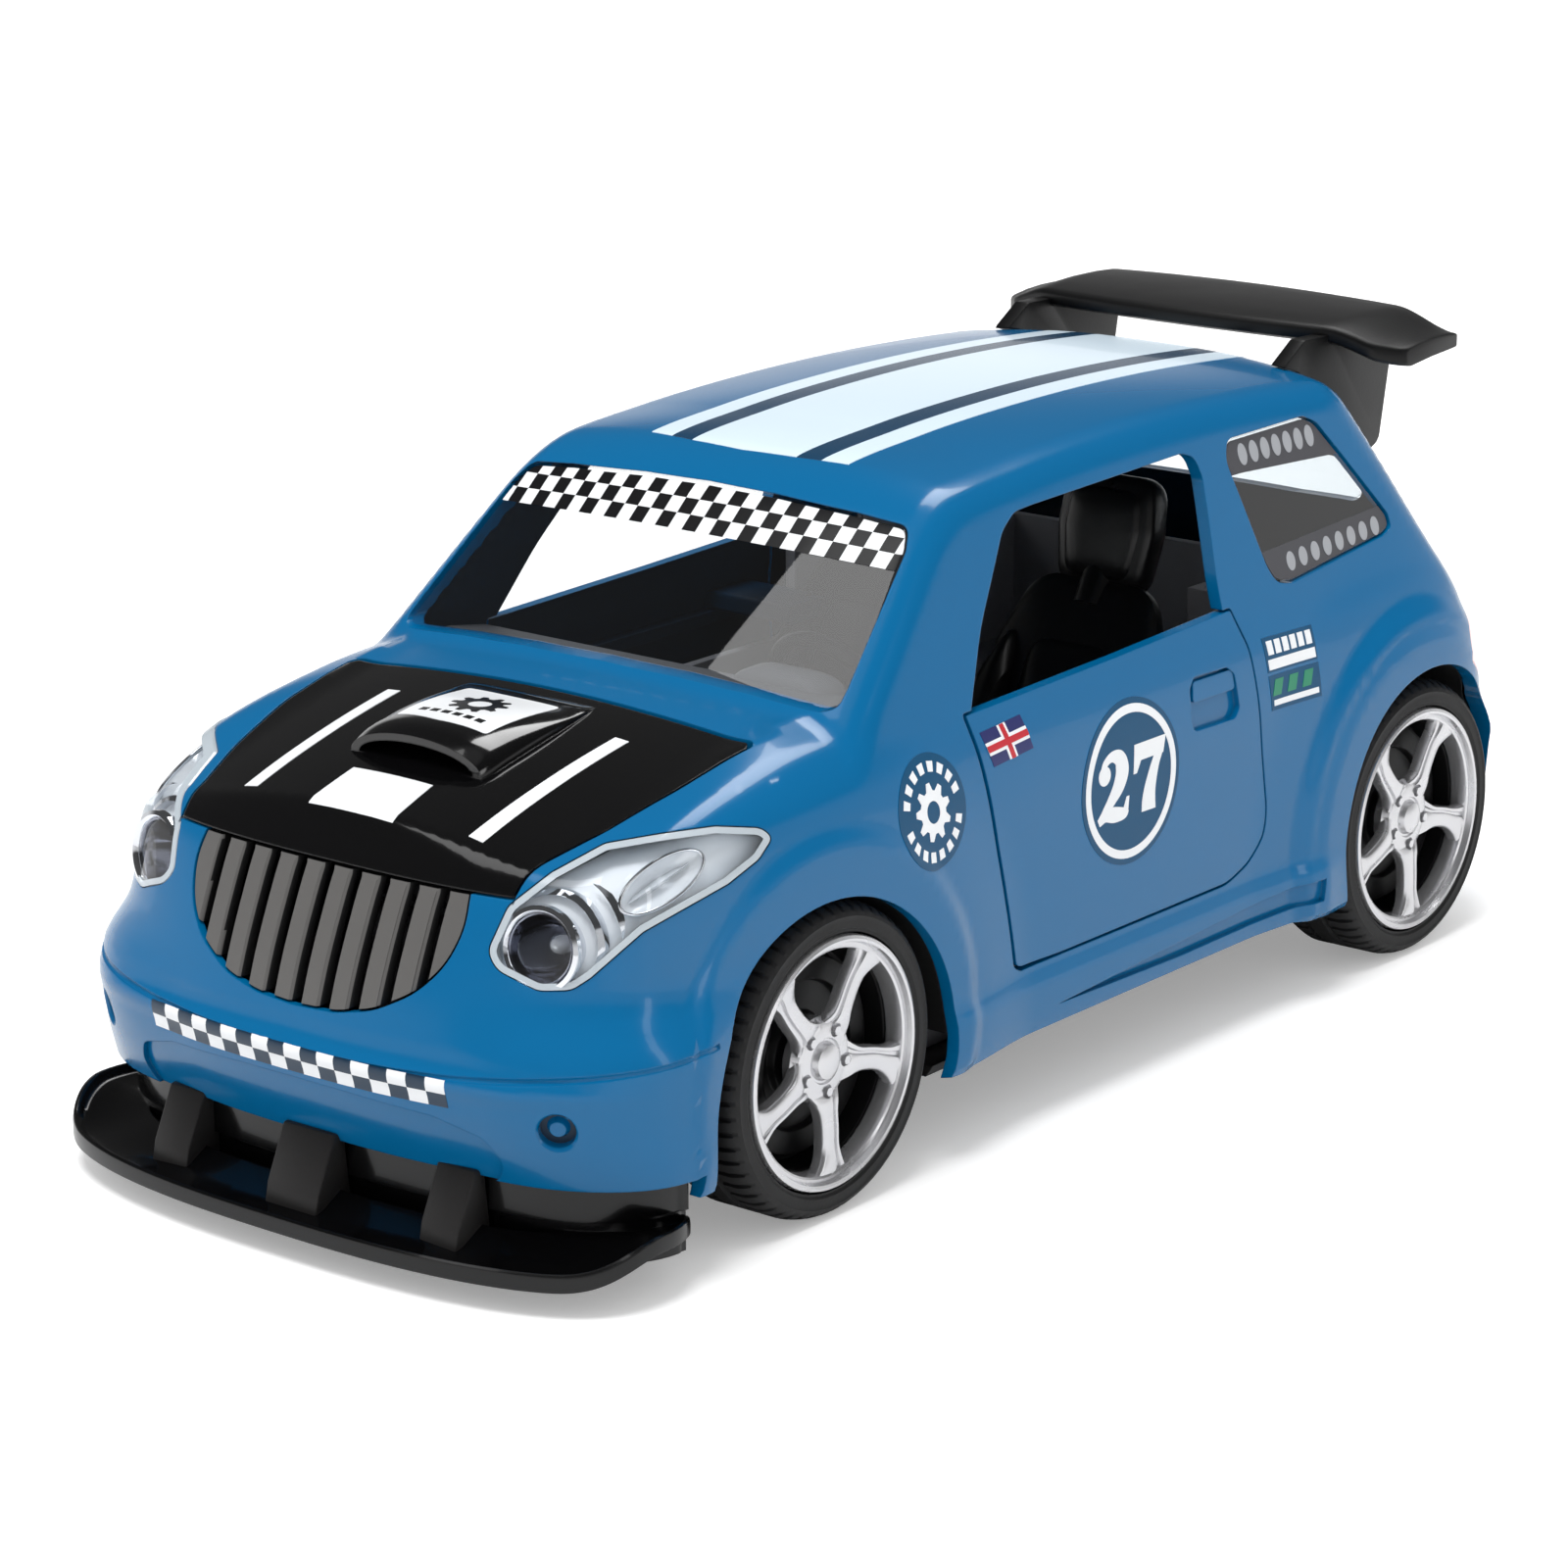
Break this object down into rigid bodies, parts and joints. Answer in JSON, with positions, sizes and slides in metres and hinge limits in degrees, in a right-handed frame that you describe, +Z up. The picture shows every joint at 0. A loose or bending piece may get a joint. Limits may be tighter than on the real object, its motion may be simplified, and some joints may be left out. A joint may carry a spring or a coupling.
{
  "type": "pull back car",
  "caption": "Small-scale hatchback toy car with hinged doors and bonnet, steering wheel, rolling wheels and a spring motor geared to the rear axle.",
  "frame": {"origin": "ground level under the middle of the bounding box", "axes": "+X is the car's left, +Y runs from the nose to the tail, +Z up"},
  "size_m": [0.0878, 0.1991, 0.0832],
  "materials": {
    "body_blue": "gloss",
    "gloss_black": "gloss",
    "trim_black": "satin",
    "grille_grey": "satin",
    "clear": "clear",
    "lamp_clear": "clear",
    "tail_clear": "clear",
    "chrome": "polished",
    "steel": "satin",
    "tyre": "matte",
    "gear_white": "satin"
  },
  "bodies": {
    "car": {"body_shell": "body_blue", "bonnet_hinge_pin": "steel", "chassis_plate": "trim_black", "chassis_screw_front_left": "steel", "chassis_screw_front_right": "steel", "chassis_screw_rear_left": "steel", "chassis_screw_rear_right": "steel", "dashboard": "trim_black", "door_hinge_pin_left": "steel", "door_hinge_pin_right": "steel", "engine_bay": "trim_black", "front_splitter": "gloss_black", "grille": "grille_grey", "headlight_lens_left": "lamp_clear", "headlight_lens_right": "lamp_clear", "headlight_reflector_left": "chrome", "headlight_reflector_right": "chrome", "interior_tub": "trim_black", "intermediate_shaft": "steel", "mainspring": "steel", "motor_case_lower": "trim_black", "motor_case_upper": "trim_black", "rear_side_window_left": "clear", "rear_side_window_right": "clear", "rear_window": "clear", "rear_wing": "gloss_black", "seat_left": "trim_black", "seat_right": "trim_black", "spring_shaft": "steel", "tail_light_left": "tail_clear", "tail_light_right": "tail_clear", "windscreen": "clear", "wing_upright_left": "gloss_black", "wing_upright_right": "gloss_black"},
    "door_left": {"door_left": "body_blue"},
    "door_right": {"door_right": "body_blue"},
    "bonnet": {"bonnet": "gloss_black"},
    "steering_wheel": {"steering_wheel": "trim_black"},
    "front_wheels": {"front_axle": "steel", "front_left_tyre": "tyre", "front_left_rim": "chrome", "front_left_hub": "trim_black", "front_right_tyre": "tyre", "front_right_rim": "chrome", "front_right_hub": "trim_black"},
    "rear_wheels": {"rear_axle": "steel", "rear_left_tyre": "tyre", "rear_left_rim": "chrome", "rear_left_hub": "trim_black", "rear_right_tyre": "tyre", "rear_right_rim": "chrome", "rear_right_hub": "trim_black", "axle_pinion": "gear_white"},
    "intermediate_gear": {"intermediate_gear": "gear_white"},
    "spring_gear": {"spring_gear": "gear_white"}
  },
  "joints": [
    {"name": "door_left_hinge", "type": "hinge", "parent": "car", "child": "door_left", "pos_m": [0.0383, -0.01045, 0.02], "axis": [0, -0.2195, 0.9756], "range_deg": [-50, 0]},
    {"name": "door_right_hinge", "type": "hinge", "parent": "car", "child": "door_right", "pos_m": [-0.0383, -0.01045, 0.02], "axis": [0, -0.2195, 0.9756], "range_deg": [0, 50]},
    {"name": "bonnet_hinge", "type": "hinge", "parent": "car", "child": "bonnet", "pos_m": [0, -0.0595, 0.0518], "axis": [1, 0, 0], "range_deg": [-55, 0]},
    {"name": "steering_wheel_turn", "type": "hinge", "parent": "car", "child": "steering_wheel", "pos_m": [0.0145, -0.0206, 0.0486], "axis": [0, 0.9061, 0.423], "continuous": true},
    {"name": "front_axle_spin", "type": "hinge", "parent": "car", "child": "front_wheels", "pos_m": [0, -0.0505, 0.0186], "axis": [1, 0, 0], "continuous": true},
    {"name": "rear_axle_spin", "type": "hinge", "parent": "car", "child": "rear_wheels", "pos_m": [0, 0.0745, 0.0186], "axis": [1, 0, 0], "continuous": true},
    {"name": "intermediate_gear_spin", "type": "hinge", "parent": "car", "child": "intermediate_gear", "pos_m": [0, 0.0646, 0.0222], "axis": [1, 0, 0], "continuous": true},
    {"name": "spring_gear_spin", "type": "hinge", "parent": "car", "child": "spring_gear", "pos_m": [0, 0.05336, 0.02181], "axis": [1, 0, 0], "continuous": true}
  ],
  "couplings": [
    {"joint": "intermediate_gear_spin", "follows": "rear_axle_spin", "ratio": -0.66667},
    {"joint": "spring_gear_spin", "follows": "rear_axle_spin", "ratio": 0.4}
  ]
}
